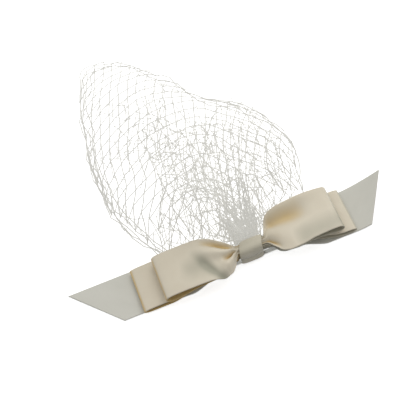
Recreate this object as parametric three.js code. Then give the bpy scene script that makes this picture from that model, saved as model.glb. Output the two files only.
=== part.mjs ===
// A bridal mesh veil on a ribbon bow: a puffed veil of coarse net, gathered
// behind the knot of a flat satin bow, with a hidden hair clip under the knot.
// Millimetres, +Z up. The origin is the middle of the clip's flat underside,
// on the surface that the veil lies on. +X runs along the bow, and +Y points
// from the bow to the veil.
import * as THREE from 'three';
import * as BufferGeometryUtils from 'three/addons/utils/BufferGeometryUtils.js';

const { clamp, smoothstep, degToRad } = THREE.MathUtils;

// Ribbon
const ribbonWidth = 38;
const ribbonWall = 1;
const layerPitch = 1.6;
const pleatDepth = 0.7;
const waistWidth = 8.4;
const spreadRun = 60;

// Bow, from the middle of the knot
const upperReachLeft = 72;
const upperReachRight = 68;
const upperHeight = 9.5;
const upperFold = 1.6;
const lowerReachLeft = 90;
const lowerReachRight = 77;
const lowerHeight = 5;
const tailReachLeft = 140;
const tailReachRight = 112;
const tailCutLeft = 34;
const tailCutRight = 23;
const tailFlare = 9;
const sinkRun = 32;

// Sideways drift of the ribbon's middle line, at the ends of its loops and tails
const upperDriftLeft = 2.5;
const upperDriftRight = 5;
const lowerDriftLeft = 5;
const lowerDriftRight = 4.5;
const tailDriftLeft = 7;
const tailDriftRight = 4.5;

// Knot band
const bandWidth = 17;
const bandWall = 1.1;
const bandGap = 0.55;
const bandSkew = 1.8;
const bandLap = 0.2;
const bandSquareness = 4;

// Hair clip
const clipLength = 48;
const clipDepth = 6;
const clipArm = 1.2;
const clipPlate = 1;
const hairGap = 5;

// Veil
const netStrand = 2.2;
const netWall = 1.4;
const neckWidth = 14;
const neckPitch = 5.8;
const veilReach = 230;
const veilHeight = 56;
const gatherRun = 27;
const veilRipple = 3;
const foldReach = 158;
const foldHeight = 30;
const foldRipple = 2;

// Half-diamonds across and down each net
const veilMesh = { columns: 18, rows: 10 };
const foldMesh = { columns: 12, rows: 6 };

// Gap that stacked pieces keep, and the height of the ribbon's lowest stretch over the floor
const seatGap = 0.3;
const floorGap = 0.7;

const satin = new THREE.MeshStandardMaterial({ color: '#e6dcc3', roughness: 0.45, metalness: 0 });
const netting = new THREE.MeshStandardMaterial({ color: '#e9e7dd', roughness: 0.55, metalness: 0 });
const steel = new THREE.MeshStandardMaterial({ color: '#b9bab6', roughness: 0.3, metalness: 1 });

// Levels of the ribbon's layers in the knot, from the clip's plate upwards
const plateTop = clipArm + hairGap + clipPlate;
const tailWaist = plateTop + seatGap + ribbonWall / 2 + pleatDepth;
const lowerWaistUnder = tailWaist + layerPitch;
const lowerWaistTop = lowerWaistUnder + layerPitch;
const upperWaistUnder = lowerWaistTop + layerPitch;
const upperWaistTop = upperWaistUnder + layerPitch;
const stackTop = upperWaistTop + pleatDepth + ribbonWall / 2;

// Levels of the same layers away from the knot, from the floor upwards
const tailRest = floorGap + ribbonWall / 2;
const lowerRest = tailRest + layerPitch;
const upperRest = lowerRest + lowerHeight + layerPitch;

// Reads one column of a table as a smooth curve that keeps within its values.
function readTable(rows, place, column, at) {
  const last = rows.length - 1;
  if (at <= rows[0][place]) return rows[0][column];
  if (at >= rows[last][place]) return rows[last][column];
  const slope = (i) => (rows[i + 1][column] - rows[i][column]) / (rows[i + 1][place] - rows[i][place]);
  const tangent = (i) => {
    const before = slope(Math.max(i - 1, 0));
    const after = slope(Math.min(i, last - 1));
    return before * after <= 0 ? 0 : (2 * before * after) / (before + after);
  };
  const i = rows.findIndex((row) => row[place] > at) - 1;
  const span = rows[i + 1][place] - rows[i][place];
  const t = (at - rows[i][place]) / span;
  const a = rows[i][column];
  const b = rows[i + 1][column];
  return a * (1 + 2 * t) * (1 - t) ** 2 + b * t ** 2 * (3 - 2 * t)
    + span * (tangent(i) * t * (1 - t) ** 2 - tangent(i + 1) * t ** 2 * (1 - t));
}

// Evenly spaced values from first to last, in the given number of steps.
function spread(first, last, steps) {
  return Array.from({ length: steps + 1 }, (_, i) => first + ((last - first) * i) / steps);
}

function solidGeometry(points, triangles) {
  const geometry = new THREE.BufferGeometry();
  geometry.setAttribute('position', new THREE.Float32BufferAttribute(points.flatMap((p) => p.toArray()), 3));
  geometry.setIndex(triangles.flat());
  return geometry;
}

// Turns a grid of points into a sheet with a wall. A ring joins its last row to its first.
function thickSheet(grid, wall, ring = false) {
  const rows = grid.length;
  const columns = grid[0].length;
  const rowAt = (i) => (ring ? (i + rows) % rows : clamp(i, 0, rows - 1));
  const columnAt = (j) => clamp(j, 0, columns - 1);
  const normalAt = (i, j) => {
    const along = grid[rowAt(i + 1)][j].clone().sub(grid[rowAt(i - 1)][j]);
    const across = grid[i][columnAt(j + 1)].clone().sub(grid[i][columnAt(j - 1)]);
    return along.cross(across).normalize();
  };
  const face = (side) => grid.map((row, i) => row.map((p, j) => (
    p.clone().addScaledVector(normalAt(i, j), (side * wall) / 2)
  )));
  const points = [...face(1).flat(), ...face(-1).flat()];
  const front = (i, j) => rowAt(i) * columns + j;
  const back = (i, j) => rows * columns + front(i, j);
  const triangles = [];
  const quad = (a, b, c, d) => triangles.push([a, b, c], [a, c, d]);
  const last = columns - 1;
  for (let i = 0; i < (ring ? rows : rows - 1); i += 1) {
    for (let j = 0; j < last; j += 1) {
      quad(front(i, j), front(i + 1, j), front(i + 1, j + 1), front(i, j + 1));
      quad(back(i, j), back(i, j + 1), back(i + 1, j + 1), back(i + 1, j));
    }
    quad(front(i, 0), back(i, 0), back(i + 1, 0), front(i + 1, 0));
    quad(front(i + 1, last), back(i + 1, last), back(i, last), front(i, last));
  }
  for (let j = 0; !ring && j < last; j += 1) {
    quad(front(0, j), front(0, j + 1), back(0, j + 1), back(0, j));
    quad(back(rows - 1, j), back(rows - 1, j + 1), front(rows - 1, j + 1), front(rows - 1, j));
  }
  return solidGeometry(points, triangles);
}

// How the ribbon spreads from the pinched waist to its full width. run: share of
// the spread's run. The other columns are shares of the full spread: of the near
// and the far edge, left and right of the knot.
const spreadTable = [
  { run: 0.00, nearLeft: 0.00, farLeft: 0.00, nearRight: 0.00, farRight: 0.00 },
  { run: 0.04, nearLeft: 0.24, farLeft: 0.06, nearRight: 0.06, farRight: 0.16 },
  { run: 0.09, nearLeft: 0.70, farLeft: 0.15, nearRight: 0.28, farRight: 0.52 },
  { run: 0.16, nearLeft: 0.97, farLeft: 0.32, nearRight: 0.62, farRight: 0.86 },
  { run: 0.27, nearLeft: 1.00, farLeft: 0.70, nearRight: 0.94, farRight: 1.00 },
  { run: 0.42, nearLeft: 1.00, farLeft: 0.97, nearRight: 1.00, farRight: 1.00 },
  { run: 0.55, nearLeft: 1.00, farLeft: 1.00, nearRight: 1.00, farRight: 1.00 },
];

// Half of a loop: out along its top strand, round its end and back underneath.
// out: share of the way from the knot band to the loop's end. puff: how far a
// puffed top strand has risen from its layer in the knot. level: share of the
// loop's height. fold: share of the depth of the folds out of the knot on top.
const loopTable = [
  { step: 0, out: 0.000, puff: 0.00, level: 1.00, fold: 0.00 },
  { step: 1, out: 0.050, puff: 0.20, level: 1.00, fold: 0.50 },
  { step: 2, out: 0.120, puff: 0.55, level: 1.00, fold: 0.95 },
  { step: 3, out: 0.220, puff: 0.88, level: 1.00, fold: 1.00 },
  { step: 4, out: 0.350, puff: 1.00, level: 0.99, fold: 0.60 },
  { step: 5, out: 0.520, puff: 1.00, level: 0.94, fold: 0.15 },
  { step: 6, out: 0.740, puff: 1.00, level: 0.83, fold: 0.00 },
  { step: 7, out: 0.915, puff: 1.00, level: 0.72, fold: 0.00 },
  { step: 8, out: 0.975, puff: 1.00, level: 0.60, fold: 0.00 },
  { step: 9, out: 1.000, puff: 1.00, level: 0.35, fold: 0.00 },
  { step: 10, out: 0.975, puff: 1.00, level: 0.10, fold: 0.00 },
  { step: 11, out: 0.915, puff: 1.00, level: 0.00, fold: 0.00 },
  { step: 12, out: 0.740, puff: 1.00, level: 0.00, fold: 0.00 },
  { step: 15, out: 0.350, puff: 1.00, level: 0.00, fold: 0.00 },
  { step: 18, out: 0.080, puff: 1.00, level: 0.00, fold: 0.00 },
  { step: 19, out: 0.000, puff: 1.00, level: 0.00, fold: 0.00 },
];
const loopSteps = 34;
const topSteps = 9;
const lastStep = loopTable[loopTable.length - 1].step;
const acrossSteps = 8;

// Share of the full waist that each layer keeps in the knot, so that its corners are round
const waistShare = { tails: 0.97, middle: 1, top: 0.72 };

// Share of the way out over which each layer takes its sideways drift. The layers
// underneath take it soon, so that they stay behind the upper loops.
const driftRun = { upper: 1, under: 0.5 };

// The waist leaves the knot band clear of its skewed edges, and its pleats are
// pressed flat at this share of the spread's run.
const bandHalfDepth = waistWidth / 2 + bandGap + bandWall / 2;
const waistEnd = bandWidth / 2 + bandSkew * (1 + (1.5 * bandWall + seatGap) / bandHalfDepth) + seatGap;
const pleatEnd = 0.3;

// One row of points across the ribbon, from its near edge to its far edge.
function ribbonRow({ side, x, z, waist, fold, middle, cut }) {
  const run = (Math.abs(x) - waistEnd) / spreadRun;
  const edge = (name) => waist / 2 + ((ribbonWidth - waist) / 2) * readTable(spreadTable, 'run', name, run);
  const near = -edge(side < 0 ? 'nearLeft' : 'nearRight');
  const far = edge(side < 0 ? 'farLeft' : 'farRight');
  const pleat = pleatDepth * clamp(1 - run / pleatEnd, 0, 1);
  const wave = (share) => Math.cos(4 * Math.PI * share);
  return spread(0, 1, acrossSteps).map((across) => new THREE.Vector3(
    x - side * cut * (1 - across),
    middle + near + (far - near) * across,
    z + pleat * wave(((across - 0.5) * waist) / waistWidth) + fold * wave(across),
  ));
}

// Past the clip's ends the layers sink from the knot to the floor.
const sinkAt = (x) => smoothstep(Math.abs(x), clipLength / 2, clipLength / 2 + sinkRun);

// A pair of loops is one ring of ribbon that passes twice through the knot. The
// top strand of a puffed pair rises at once, and any other strand only sinks.
function loopPair({
  reachLeft,
  reachRight,
  driftLeft,
  driftRight,
  driftOver,
  waistTop,
  waistUnder,
  topShare,
  rest,
  height,
  foldDepth,
  puffed,
}) {
  const half = (side, reach, drift) => spread(0, lastStep, loopSteps).map((step) => {
    const read = (column) => readTable(loopTable, 'step', column, step);
    const onTop = step < topSteps;
    const out = read('out');
    const x = side * (waistEnd + (reach - waistEnd) * out);
    const waist = onTop ? waistTop : waistUnder;
    const free = onTop && puffed ? read('puff') : sinkAt(x);
    return ribbonRow({
      side,
      x,
      z: waist + (rest + height * read('level') - waist) * free,
      waist: waistWidth * (onTop ? topShare : waistShare.middle),
      fold: foldDepth * read('fold'),
      middle: drift * smoothstep(out, 0, driftOver),
      cut: 0,
    });
  });
  const right = half(1, reachRight, driftRight);
  const left = half(-1, reachLeft, driftLeft).reverse();
  return thickSheet([...right, ...left], ribbonWall, true);
}

// Both tails are one strip under the loops. The right tail lifts off the floor
// past the loops, by this curve's power.
const flarePower = 1.5;
const flareStart = lowerReachRight + ribbonWall;
function flareAt(x) {
  return tailFlare * clamp((x - flareStart) / (tailReachRight - flareStart), 0, 1) ** flarePower;
}
const tailSteps = 20;

function tailStrip() {
  const half = (side, reach, cut, drift) => spread(0, 1, tailSteps).map((out) => {
    const x = side * (waistEnd + (reach - waistEnd) * out);
    return ribbonRow({
      side,
      x,
      z: tailWaist + (tailRest - tailWaist) * sinkAt(x),
      waist: waistWidth * waistShare.tails,
      fold: 0,
      middle: drift * smoothstep(out, 0, driftRun.under),
      cut: cut * out,
    }).map((point) => point.setZ(point.z + flareAt(point.x)));
  });
  const left = half(-1, tailReachLeft, tailCutLeft, tailDriftLeft).reverse();
  const right = half(1, tailReachRight, tailCutRight, tailDriftRight);
  return thickSheet([...left, ...right], ribbonWall);
}

// The knot band is one strip wound round the bow and the clip's plate. Its outer
// end laps over its inner end from the top of the knot to the near side.
const bandSteps = 32;
const bandAcross = 4;
const bandTop = stackTop + bandGap + bandWall / 2;
const bandUnder = plateTop - clipPlate - bandGap - bandWall / 2;

function knotBand() {
  const middle = (bandTop + bandUnder) / 2;
  const halfHeight = (bandTop - bandUnder) / 2;
  const lapStart = Math.PI - 2 * Math.PI * (1 + bandLap);
  const round = (value) => Math.sign(value) * Math.abs(value) ** (2 / bandSquareness);
  const grid = spread(0, 1 + bandLap, bandSteps).map((turn) => {
    const angle = lapStart + 2 * Math.PI * turn;
    const lapped = smoothstep(turn, 1 - bandLap, 1);
    const grow = (bandWall + seatGap) * lapped;
    const y = (bandHalfDepth + grow) * round(Math.cos(angle));
    const z = middle + (halfHeight + grow) * round(Math.sin(angle));
    return spread(-0.5, 0.5, bandAcross).map((across) => new THREE.Vector3(
      across * bandWidth + (bandSkew * y) / bandHalfDepth,
      y,
      z,
    ));
  });
  return thickSheet(grid, bandWall);
}

// The clip is a flat closed loop of metal: a plate in the knot, an arm below it
// and the gap between them that takes the hair.
const clipArcSteps = 6;

function hairClip() {
  const roundEnded = (path, length, low, high) => {
    const radius = (high - low) / 2;
    path.absarc(length / 2 - radius, low + radius, radius, -Math.PI / 2, Math.PI / 2);
    path.absarc(radius - length / 2, low + radius, radius, Math.PI / 2, (3 * Math.PI) / 2);
    return path;
  };
  const shape = roundEnded(new THREE.Shape(), clipLength, 0, plateTop);
  shape.holes.push(roundEnded(new THREE.Path(), clipLength - 2 * clipArm, clipArm, clipArm + hairGap));
  const settings = { depth: clipDepth, bevelEnabled: false, curveSegments: clipArcSteps };
  const geometry = new THREE.ExtrudeGeometry(shape, settings);
  geometry.rotateX(Math.PI / 2);
  geometry.translate(0, clipDepth / 2, 0);
  geometry.deleteAttribute('normal');
  geometry.deleteAttribute('uv');
  return BufferGeometryUtils.mergeVertices(geometry, 1e-4);
}

// The net in plan, ray by ray from its left edge to its right edge. share: place
// along the gathered edge. bearing: degrees from +X to the ray's end, seen from
// above. reach and height: shares of the net's own.
const netRays = [
  { share: 0.00, bearing: 157, reach: 0.340, height: 0.10 },
  { share: 0.06, bearing: 153, reach: 0.370, height: 0.50 },
  { share: 0.13, bearing: 147, reach: 0.435, height: 0.74 },
  { share: 0.21, bearing: 138, reach: 0.502, height: 0.84 },
  { share: 0.30, bearing: 127, reach: 0.654, height: 0.88 },
  { share: 0.39, bearing: 117, reach: 0.811, height: 0.88 },
  { share: 0.47, bearing: 110, reach: 0.970, height: 0.88 },
  { share: 0.54, bearing: 102, reach: 1.000, height: 0.86 },
  { share: 0.61, bearing: 92, reach: 0.781, height: 0.86 },
  { share: 0.68, bearing: 82, reach: 0.618, height: 0.92 },
  { share: 0.75, bearing: 71, reach: 0.543, height: 1.00 },
  { share: 0.82, bearing: 59, reach: 0.449, height: 1.00 },
  { share: 0.89, bearing: 47, reach: 0.403, height: 0.86 },
  { share: 0.95, bearing: 36, reach: 0.306, height: 0.52 },
  { share: 1.00, bearing: 28, reach: 0.275, height: 0.10 },
];

// The net in side view, along one ray from the gathered neck over the crest to
// the hem, which curls under. out: share of the ray. neck: share of the neck's
// level that is left. rise: share of the crest. ripple: share of the ripple.
const netSection = [
  { step: 0.00, out: 0.000, neck: 1.00, rise: 0.00, ripple: 0.10 },
  { step: 0.10, out: 0.075, neck: 0.90, rise: 0.14, ripple: 0.30 },
  { step: 0.22, out: 0.180, neck: 0.60, rise: 0.42, ripple: 0.80 },
  { step: 0.35, out: 0.330, neck: 0.20, rise: 0.80, ripple: 1.00 },
  { step: 0.48, out: 0.490, neck: 0.00, rise: 1.00, ripple: 0.80 },
  { step: 0.60, out: 0.650, neck: 0.00, rise: 0.98, ripple: 0.50 },
  { step: 0.72, out: 0.810, neck: 0.00, rise: 0.84, ripple: 0.40 },
  { step: 0.83, out: 0.930, neck: 0.00, rise: 0.62, ripple: 0.30 },
  { step: 0.91, out: 0.990, neck: 0.00, rise: 0.38, ripple: 0.20 },
  { step: 0.96, out: 1.000, neck: 0.00, rise: 0.18, ripple: 0.10 },
  { step: 1.00, out: 0.980, neck: 0.00, rise: 0.00, ripple: 0.00 },
];
const neckBack = bandHalfDepth + bandWall / 2 + seatGap + netWall / 2;
const neckTop = (bandTop + bandUnder) / 2 + neckPitch / 2;
const rippleCount = 4;

// A point of the net. Each ray leaves the neck straight back and then turns to its bearing.
function netPoint({ reach, height, level, ripple, edge }, share, step) {
  const place = edge + (1 - 2 * edge) * share;
  const ray = (column) => readTable(netRays, 'share', column, place);
  const section = (column) => readTable(netSection, 'step', column, step);
  const bearing = degToRad(ray('bearing'));
  const neck = new THREE.Vector3((place - 0.5) * neckWidth, neckBack, 0);
  const turn = neck.clone().setY(neckBack + gatherRun);
  const end = new THREE.Vector3(Math.cos(bearing), Math.sin(bearing), 0).multiplyScalar(reach * ray('reach'));
  const point = new THREE.QuadraticBezierCurve3(neck, turn, end).getPoint(section('out'));
  const crest = height * ray('height');
  const wave = ripple * section('ripple') * ray('height') * Math.cos(2 * Math.PI * rippleCount * place);
  return point.setZ(netWall / 2 + (level - netWall / 2) * section('neck') + crest * section('rise') + wave);
}

// Adds the back face and the edge walls to a front face of paired points, where
// each point's partner on the back follows it.
function closedByWalls(points, front) {
  const edges = new Map();
  front.forEach((triangle) => triangle.forEach((a, k) => edges.set(`${a} ${triangle[(k + 1) % 3]}`, a)));
  const triangles = front.flatMap(([a, b, c]) => [[a, b, c], [a + 1, c + 1, b + 1]]);
  edges.forEach((a, key) => {
    const b = Number(key.split(' ')[1]);
    if (!edges.has(`${b} ${a}`)) triangles.push([a, a + 1, b + 1], [a, b + 1, b]);
  });
  return solidGeometry(points, triangles);
}

// A net of diamonds. Its knots alternate from row to row, and each diamond that
// is wide enough for the strands round it is open.
const leastOpening = 0.4;

function netSheet(surface, columns, rows) {
  const pointAt = (i, j) => netPoint(surface, i / columns, j / rows);
  const nudge = 0.02;
  const points = [];
  const front = [];
  const addPair = (middle, normal) => {
    points.push(middle.clone().addScaledVector(normal, netWall / 2));
    points.push(middle.clone().addScaledVector(normal, -netWall / 2));
    return points.length - 2;
  };
  const knots = new Map();
  const knotAt = ([i, j]) => {
    const key = `${i} ${j}`;
    if (!knots.has(key)) {
      const middle = pointAt(i, j);
      const down = pointAt(i, Math.min(j + nudge, rows)).sub(pointAt(i, Math.max(j - nudge, 0)));
      const across = pointAt(Math.min(i + nudge, columns), j).sub(pointAt(Math.max(i - nudge, 0), j));
      const normal = across.cross(down).normalize();
      knots.set(key, { middle, normal, index: addPair(middle, normal) });
    }
    return knots.get(key);
  };
  const addCell = (corners) => {
    const centre = new THREE.Vector3();
    corners.forEach((corner) => centre.addScaledVector(corner.middle, 1 / corners.length));
    const side = (k) => new THREE.Line3(corners[k].middle, corners[(k + 1) % corners.length].middle);
    const toSide = (k) => side(k).closestPointToPoint(centre, true, new THREE.Vector3()).distanceTo(centre);
    const opening = 1 - netStrand / 2 / Math.min(...corners.map((_, k) => toSide(k)));
    if (opening > leastOpening) {
      const rim = corners.map(({ middle, normal }) => addPair(centre.clone().lerp(middle, opening), normal));
      corners.forEach((corner, k) => {
        const next = (k + 1) % corners.length;
        front.push([corner.index, corners[next].index, rim[next]], [corner.index, rim[next], rim[k]]);
      });
    } else {
      corners.slice(1, -1).forEach((corner, k) => {
        front.push([corners[0].index, corner.index, corners[k + 2].index]);
      });
    }
  };
  for (let i = 0; i <= columns; i += 1) {
    for (let j = (i + 1) % 2; j <= rows; j += 2) {
      const around = [[i, j - 1], [i + 1, j], [i, j + 1], [i - 1, j]];
      addCell(around.filter(([c, r]) => c >= 0 && c <= columns && r >= 0 && r <= rows).map(knotAt));
    }
  }
  return closedByWalls(points, front);
}

// edge: share of the rays that the net leaves out at each of its two edges
const veil = {
  reach: veilReach,
  height: veilHeight,
  level: neckTop,
  ripple: veilRipple,
  edge: 0,
};
const innerFolds = {
  reach: foldReach,
  height: foldHeight,
  level: neckTop - neckPitch,
  ripple: foldRipple,
  edge: 0.2,
};

const group = new THREE.Group();
function add(name, geometry, material) {
  const mesh = new THREE.Mesh(geometry, material);
  mesh.name = name;
  group.add(mesh);
}

add('hair_clip', hairClip(), steel);
add('ribbon_tails', tailStrip(), satin);
add('lower_loops', loopPair({
  reachLeft: lowerReachLeft,
  reachRight: lowerReachRight,
  driftLeft: lowerDriftLeft,
  driftRight: lowerDriftRight,
  driftOver: driftRun.under,
  waistTop: lowerWaistTop,
  waistUnder: lowerWaistUnder,
  topShare: waistShare.middle,
  rest: lowerRest,
  height: lowerHeight,
  foldDepth: 0,
  puffed: false,
}), satin);
add('upper_loops', loopPair({
  reachLeft: upperReachLeft,
  reachRight: upperReachRight,
  driftLeft: upperDriftLeft,
  driftRight: upperDriftRight,
  driftOver: driftRun.upper,
  waistTop: upperWaistTop,
  waistUnder: upperWaistUnder,
  topShare: waistShare.top,
  rest: upperRest,
  height: upperHeight,
  foldDepth: upperFold,
  puffed: true,
}), satin);
add('knot_band', knotBand(), satin);
add('veil', netSheet(veil, veilMesh.columns, veilMesh.rows), netting);
add('inner_folds', netSheet(innerFolds, foldMesh.columns, foldMesh.rows), netting);

export default group;
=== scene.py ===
# %% [markdown]
# # A mesh veil on a satin bow
# The object is a short bridal veil. A puffed piece of coarse net is gathered behind the
# knot of a flat satin bow, and a hair clip sits hidden under the knot.
# This file dresses a plain model of it that is already at its real size.
# Every length in Blender is in metres, so the sizes below are given in millimetres and
# multiplied by `MM`.

# %% Load the plain model
import math
import bpy
import numpy as np
from mathutils import Matrix, Vector


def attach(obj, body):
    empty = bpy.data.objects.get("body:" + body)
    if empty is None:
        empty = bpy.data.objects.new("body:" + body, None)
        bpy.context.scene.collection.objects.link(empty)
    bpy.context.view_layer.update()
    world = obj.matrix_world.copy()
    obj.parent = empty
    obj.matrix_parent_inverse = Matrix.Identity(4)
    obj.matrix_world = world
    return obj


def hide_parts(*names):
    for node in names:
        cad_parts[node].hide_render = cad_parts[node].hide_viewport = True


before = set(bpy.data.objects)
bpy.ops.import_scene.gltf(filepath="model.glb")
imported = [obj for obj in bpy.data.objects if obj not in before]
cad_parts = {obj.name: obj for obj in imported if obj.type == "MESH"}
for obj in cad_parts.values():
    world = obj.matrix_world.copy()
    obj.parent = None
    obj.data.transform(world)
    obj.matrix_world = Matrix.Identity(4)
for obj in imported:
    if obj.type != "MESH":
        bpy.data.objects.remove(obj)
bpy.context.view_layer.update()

MM = 0.001

# %% [markdown]
# ## Camera
# The picture looks down on the lying bow from in front, and the camera is turned about its
# own line of sight, so the bow climbs to the right. A long lens keeps the perspective weak.

# %% Aim the camera
def aim_camera(azimuth, elevation, roll, place, lens):
    a, e, r = (math.radians(angle) for angle in (azimuth, elevation, roll))
    back = Vector((math.sin(a) * math.cos(e), -math.cos(a) * math.cos(e), math.sin(e)))
    level = Vector((math.cos(a), math.sin(a), 0))
    upright = back.cross(level)
    right = level * math.cos(r) - upright * math.sin(r)
    up = level * math.sin(r) + upright * math.cos(r)
    data = bpy.data.cameras.new("camera")
    data.lens = lens
    data.sensor_width = 36
    data.sensor_fit = "HORIZONTAL"
    camera = bpy.data.objects.new("camera", data)
    bpy.context.scene.collection.objects.link(camera)
    turn = Matrix((right, up, back)).transposed().to_4x4()
    camera.matrix_world = Matrix.Translation(Vector(place) * MM) @ turn
    bpy.context.scene.camera = camera
    return camera


camera = aim_camera(azimuth=-5, elevation=55, roll=17.4, place=(-59.3, -426.5, 690.5), lens=94.7)
print("camera at", [round(c, 3) for c in camera.location])

# %% [markdown]
# ## Tables of shapes
# Cloth is easiest to describe by a few measured rows. A smooth curve through the rows gives
# every place between them, and it never swings past the values in the table.

# %% Read smooth curves from short tables
def smooth_curve(places, values):
    places, values = np.asarray(places, float), np.asarray(values, float)
    slopes = np.diff(values) / np.diff(places)
    before = np.concatenate([slopes[:1], slopes])
    after = np.concatenate([slopes, slopes[-1:]])
    product = before * after
    total = np.where(product > 0, before + after, 1)
    tangents = np.where(product > 0, 2 * product / total, 0)

    def read(at):
        at = np.clip(np.asarray(at, float), places[0], places[-1])
        i = np.clip(np.searchsorted(places, at, side="right") - 1, 0, len(places) - 2)
        span = places[i + 1] - places[i]
        t = (at - places[i]) / span
        return (values[i] * (1 + 2 * t) * (1 - t) ** 2 + values[i + 1] * t ** 2 * (3 - 2 * t)
                + span * (tangents[i] * t * (1 - t) ** 2 - tangents[i + 1] * t ** 2 * (1 - t)))
    return read


def curves(names, rows):
    columns = list(zip(*rows))
    return {name: smooth_curve(columns[0], column) for name, column in zip(names, columns[1:])}


def smoothstep(value, low, high):
    """0 below low, 1 above high, and a soft step between them."""
    t = np.clip((np.asarray(value, float) - low) / (high - low), 0, 1)
    return t * t * (3 - 2 * t)


print("a curve through 0, 3 and 4, halfway to the 3:", smooth_curve((0, 1, 2), (0, 3, 4))(0.5))

# %% [markdown]
# ## Floor and light
# The veil lies on a plain pale table. Thin threads need an even light, and satin needs one
# side that is darker than the other. A sky that is brightest above and behind gives both,
# and one soft lamp behind the veil adds a little shine.
# The floor glows a little, so that it stays white. It throws no light on the bow, because
# the undersides of the loops would lose their shade.

# %% Lay the floor
def lay_floor(half_size, glow):
    mesh = bpy.data.meshes.new("floor")
    corners = [(x * half_size, y * half_size, 0) for x, y in ((-1, -1), (1, -1), (1, 1), (-1, 1))]
    mesh.from_pydata(corners, [], [(0, 1, 2, 3)])
    paint = bpy.data.materials.new("floor_paint")
    paint.use_nodes = True
    shader = paint.node_tree.nodes["Principled BSDF"]
    shader.inputs["Base Color"].default_value = (0.93, 0.93, 0.93, 1)
    shader.inputs["Roughness"].default_value = 0.9
    shader.inputs["Emission Color"].default_value = (1, 1, 1, 1)
    shader.inputs["Emission Strength"].default_value = glow
    mesh.materials.append(paint)
    floor = bpy.data.objects.new("floor", mesh)
    bpy.context.scene.collection.objects.link(floor)
    floor.visible_diffuse = False
    return floor


floor = lay_floor(half_size=4, glow=0.66)
print("floor with", len(floor.data.polygons), "face")


# %% Paint the sky
def paint_sky(tree, bright_side, stops, strength):
    """A white sky that is brightest on one side and fades to the other."""
    place = tree.nodes.new("ShaderNodeTexCoord")
    towards = tree.nodes.new("ShaderNodeVectorMath")
    towards.operation = "DOT_PRODUCT"
    towards.inputs[1].default_value = bright_side
    tree.links.new(place.outputs["Generated"], towards.inputs[0])
    share = tree.nodes.new("ShaderNodeMapRange")
    share.inputs["From Min"].default_value = -1
    tree.links.new(towards.outputs["Value"], share.inputs["Value"])
    ramp = tree.nodes.new("ShaderNodeValToRGB")
    ramp.color_ramp.elements.new(0.5)
    for element, (at, grey) in zip(ramp.color_ramp.elements, stops):
        element.position = at
        element.color = (grey, grey, grey, 1)
    tree.links.new(share.outputs["Result"], ramp.inputs["Fac"])
    tree.links.new(ramp.outputs["Color"], tree.nodes["Background"].inputs["Color"])
    tree.nodes["Background"].inputs["Strength"].default_value = strength


sky = bpy.data.worlds.new("sky")
sky.use_nodes = True
sky_stops = [(0.0, 0.16), (0.45, 0.45), (0.8, 0.98)]
paint_sky(sky.node_tree, bright_side=(0.3, 0.55, 0.78), stops=sky_stops, strength=0.85)
bpy.context.scene.world = sky
print("sky from grey", sky_stops[0][1], "in front to", sky_stops[-1][1], "above and behind")


# %% Hang the lamp
def hang_lamp(name, place, aim, size, power, colour):
    data = bpy.data.lights.new(name, "AREA")
    data.size = size
    data.energy = power
    data.color = colour
    lamp = bpy.data.objects.new(name, data)
    bpy.context.scene.collection.objects.link(lamp)
    lamp.location = place
    lamp.rotation_euler = (Vector(aim) - Vector(place)).to_track_quat("-Z", "Y").to_euler()
    return lamp


lamp_warmth = (1, 0.985, 0.96)
lamp = hang_lamp("lamp_behind", (0.75, 0.85, 1.1), (0, 0.05, 0), size=0.8, power=4.5, colour=lamp_warmth)
bpy.context.scene.view_settings.view_transform = "Standard"
print("lamp:", lamp.name, "of", lamp.data.energy, "W")

# %% [markdown]
# ## Satin ribbon, the finish
# Satin shows long floating threads on its face, so it is smooth along the ribbon and has a
# very fine rib across it, and its woven edges are a little denser. The pattern is read in
# millimetres along and across the ribbon, which each strip carries as its UV map, so the
# weave turns with the ribbon through every loop. A picture of cloth could be laid on
# instead, but nodes stay sharp however near the camera comes.
# Each point of a strip also carries a painted shade for the folds. The finish turns it into
# a cool, darker colour, painted shade where a slope lies in shade, and a warm one, painted
# shade warmed as by light caught deep in a fold. The tails lie flat and mirror the pale sky,
# so their cream is painted a little paler and cooler, a painted reflection of the sky.

# %% Join nodes with short helpers
def link(tree, start, end):
    tree.links.new(start, end)


def new_finish(name):
    """A new material with its node tree and its shader."""
    material = bpy.data.materials.new(name)
    material.use_nodes = True
    return material, material.node_tree, material.node_tree.nodes["Principled BSDF"]


def math_node(tree, operation, *values):
    node = tree.nodes.new("ShaderNodeMath")
    node.operation = operation
    for socket, value in zip(node.inputs, values):
        if isinstance(value, (int, float)):
            socket.default_value = value
        else:
            link(tree, value, socket)
    return node.outputs[0]


# %% Make a ramp of colours, a cloud and a relief
def ramp_node(tree, value, stops):
    node = tree.nodes.new("ShaderNodeValToRGB")
    ramp = node.color_ramp
    while len(ramp.elements) < len(stops):
        ramp.elements.new(1)
    for element, (place, colour) in zip(ramp.elements, stops):
        element.position = place
        element.color = (*colour, 1)
    link(tree, value, node.inputs["Fac"])
    return node.outputs["Color"]


def cloud_node(tree, place, scale, detail):
    cloud = tree.nodes.new("ShaderNodeTexNoise")
    cloud.inputs["Scale"].default_value = scale
    cloud.inputs["Detail"].default_value = detail
    link(tree, place, cloud.inputs["Vector"])
    return cloud.outputs["Fac"]


def raise_surface(tree, shader, relief, strength, depth):
    """Lets the light fall on a fine relief. Depth is in metres."""
    bump = tree.nodes.new("ShaderNodeBump")
    bump.inputs["Strength"].default_value = strength
    bump.inputs["Distance"].default_value = depth
    link(tree, relief, bump.inputs["Height"])
    link(tree, bump.outputs["Normal"], shader.inputs["Normal"])


# %% Weave the satin's relief
rib_pitch, thread_pitch, woven_edge = 0.42, 0.3, 0.9
print("ribs of the satin every", rib_pitch, "mm, its woven edges", woven_edge, "mm wide")


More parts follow.
